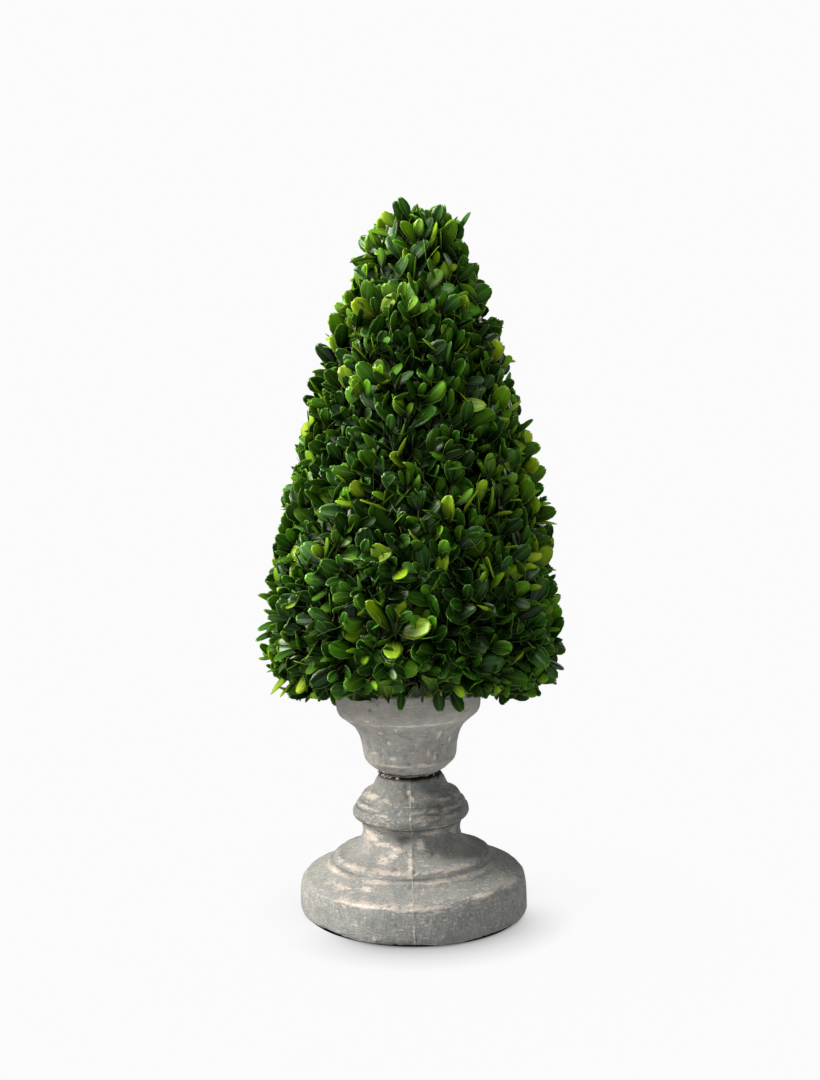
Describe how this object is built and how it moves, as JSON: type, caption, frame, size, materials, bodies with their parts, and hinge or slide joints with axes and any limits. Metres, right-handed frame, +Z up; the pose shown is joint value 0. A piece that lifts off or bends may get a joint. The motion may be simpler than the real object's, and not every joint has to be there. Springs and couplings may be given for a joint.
{
  "type": "boxwood cone topiary",
  "caption": "Clipped boxwood cone topiary growing in a footed cast stone urn that stands on its flat round underside.",
  "frame": {"origin": "centre of the urn's flat round underside, at floor level", "axes": "+Z up; -Y towards the front; +X to the right seen from the front"},
  "size_m": [0.2576, 0.2561, 0.6042],
  "materials": {
    "cast_stone": "weathered matt cast stone",
    "mortar": "crumbly matt lime mortar",
    "soil": "loose dark potting compost",
    "bark": "finely cracked pale bark",
    "leaves": "leathery semi-gloss leaves"
  },
  "bodies": {
    "root": {"pedestal": "cast_stone", "mortar_bed": "mortar", "bowl": "cast_stone", "soil": "soil", "stem": "bark", "foliage": "leaves"}
  },
  "joints": []
}
